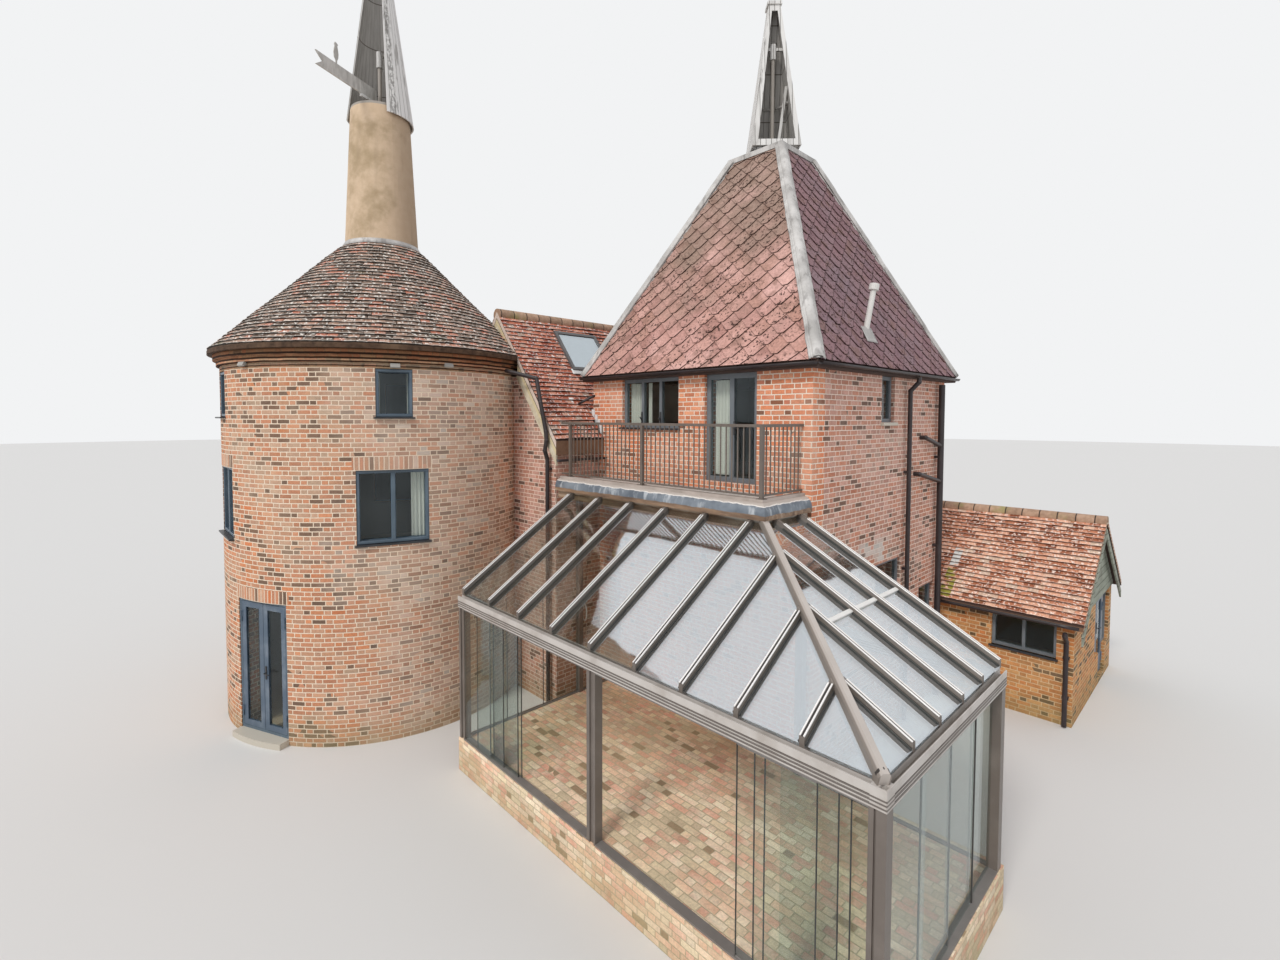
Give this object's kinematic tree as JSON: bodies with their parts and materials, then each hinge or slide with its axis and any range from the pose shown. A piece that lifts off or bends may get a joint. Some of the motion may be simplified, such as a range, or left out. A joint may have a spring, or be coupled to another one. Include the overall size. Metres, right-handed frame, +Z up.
{
  "type": "oast house",
  "caption": "Brick oast house with a round and a square kiln under turning cowls, a gabled stowage, a glazed conservatory under a balcony, and a low outbuilding.",
  "frame": {"origin": "centre of the square kiln's plan, at the level of the lowest ground that the walls stand on", "axes": "+Z up; +X to the right along the square kiln's front wall; -Y out of that wall towards the conservatory's front"},
  "size_m": [13.556, 14.6248, 14.96],
  "materials": {
    "brick": "matt, multi-tone",
    "clay_tile": "matt, weathered",
    "slate": "matt",
    "lead": "dull",
    "render": "matt",
    "cowl_boards": "weathered white paint",
    "dark_iron": "dull black",
    "frame_paint": "satin blue-grey",
    "glass": "clear",
    "floor_boards": "matt",
    "black_plastic": "matt",
    "white_plastic": "matt",
    "deck_timber": "painted, worn",
    "rail_metal": "matt",
    "cream_render": "matt",
    "taupe_metal": "satin",
    "board_paint": "painted, worn",
    "step_stone": "matt"
  },
  "bodies": {
    "house": {"round_wall_front": "brick", "round_wall_over_door": "brick", "round_wall_left": "brick", "round_wall_back": "brick", "round_wall_right": "brick", "round_cornice": "brick", "round_roof": "clay_tile", "round_collar": "lead", "round_neck": "render", "round_window_frames": "frame_paint", "round_door_frame": "frame_paint", "round_threshold": "step_stone", "round_floors": "floor_boards", "cowl_spindles": "dark_iron", "window_glass": "glass", "square_front_wall": "brick", "square_right_wall": "brick", "square_back_wall": "brick", "square_left_wall": "brick", "square_roof": "slate", "square_hips": "lead", "square_window_frames": "frame_paint", "square_floors": "floor_boards", "eaves_gutters": "black_plastic", "downpipes": "black_plastic", "flue_pipe": "white_plastic", "balcony_deck": "deck_timber", "balcony_lead_edge": "lead", "balcony_railing": "rail_metal", "stowage_gable_walls": "brick", "stowage_side_walls": "brick", "stowage_gable_trim": "cream_render", "stowage_roof": "clay_tile", "ridge_tiles": "clay_tile", "rooflight": "frame_paint", "conservatory_base": "brick", "conservatory_posts": "taupe_metal", "conservatory_beam": "taupe_metal", "conservatory_bars": "taupe_metal", "conservatory_roof_glass": "glass", "conservatory_tracks": "taupe_metal", "fixed_glass_panels": "glass", "outbuilding_long_walls": "brick", "outbuilding_gable_walls": "brick", "outbuilding_roof": "clay_tile", "outbuilding_gable_boards": "board_paint", "outbuilding_frames": "frame_paint"},
    "round_cowl": {"round_cowl": "cowl_boards", "round_vane": "cowl_boards"},
    "square_cowl": {"square_cowl": "cowl_boards"},
    "round_door_left": {"round_door_left": "frame_paint"},
    "round_door_right": {"round_door_right": "frame_paint"},
    "outbuilding_door": {"outbuilding_door": "frame_paint"},
    "sliding_panel_left_2": {"sliding_panel_left_2": "glass"},
    "sliding_panel_left_3": {"sliding_panel_left_3": "glass"},
    "sliding_panel_left_4": {"sliding_panel_left_4": "glass"},
    "sliding_panel_right_1": {"sliding_panel_right_1": "glass"},
    "sliding_panel_right_2": {"sliding_panel_right_2": "glass"},
    "sliding_panel_right_3": {"sliding_panel_right_3": "glass"}
  },
  "joints": [
    {"name": "round_cowl_turn", "type": "hinge", "parent": "house", "child": "round_cowl", "pos_m": [-5.775, -5.215, 11.26], "axis": [0, 0, 1], "continuous": true},
    {"name": "square_cowl_turn", "type": "hinge", "parent": "house", "child": "square_cowl", "pos_m": [0, 0, 10.4], "axis": [0, 0, 1], "continuous": true},
    {"name": "round_door_left_swing", "type": "hinge", "parent": "house", "child": "round_door_left", "pos_m": [-5.1371, -7.90717, 0.151], "axis": [0, 0, -1], "range_deg": [0, 100]},
    {"name": "round_door_right_swing", "type": "hinge", "parent": "house", "child": "round_door_right", "pos_m": [-4.19323, -7.48496, 0.151], "axis": [0, 0, 1], "range_deg": [0, 100]},
    {"name": "outbuilding_door_swing", "type": "hinge", "parent": "house", "child": "outbuilding_door", "pos_m": [4.481, 5.627, 0.106], "axis": [0, 0, 1], "range_deg": [0, 95]},
    {"name": "sliding_panel_left_2_slide", "type": "slide", "parent": "house", "child": "sliding_panel_left_2", "axis": [1, 0, 0], "range_m": [-0.307, 0.4091]},
    {"name": "sliding_panel_left_3_slide", "type": "slide", "parent": "house", "child": "sliding_panel_left_3", "axis": [1, 0, 0], "range_m": [-0.627, 0.8052]},
    {"name": "sliding_panel_left_4_slide", "type": "slide", "parent": "house", "child": "sliding_panel_left_4", "axis": [1, 0, 0], "range_m": [-0.679, 1.4692]},
    {"name": "sliding_panel_right_1_slide", "type": "slide", "parent": "house", "child": "sliding_panel_right_1", "axis": [1, 0, 0], "range_m": [-1.9232, 0.408]},
    {"name": "sliding_panel_right_2_slide", "type": "slide", "parent": "house", "child": "sliding_panel_right_2", "axis": [1, 0, 0], "range_m": [-1.3162, 0.238]},
    {"name": "sliding_panel_right_3_slide", "type": "slide", "parent": "house", "child": "sliding_panel_right_3", "axis": [1, 0, 0], "range_m": [-0.6291, 0.148]}
  ]
}
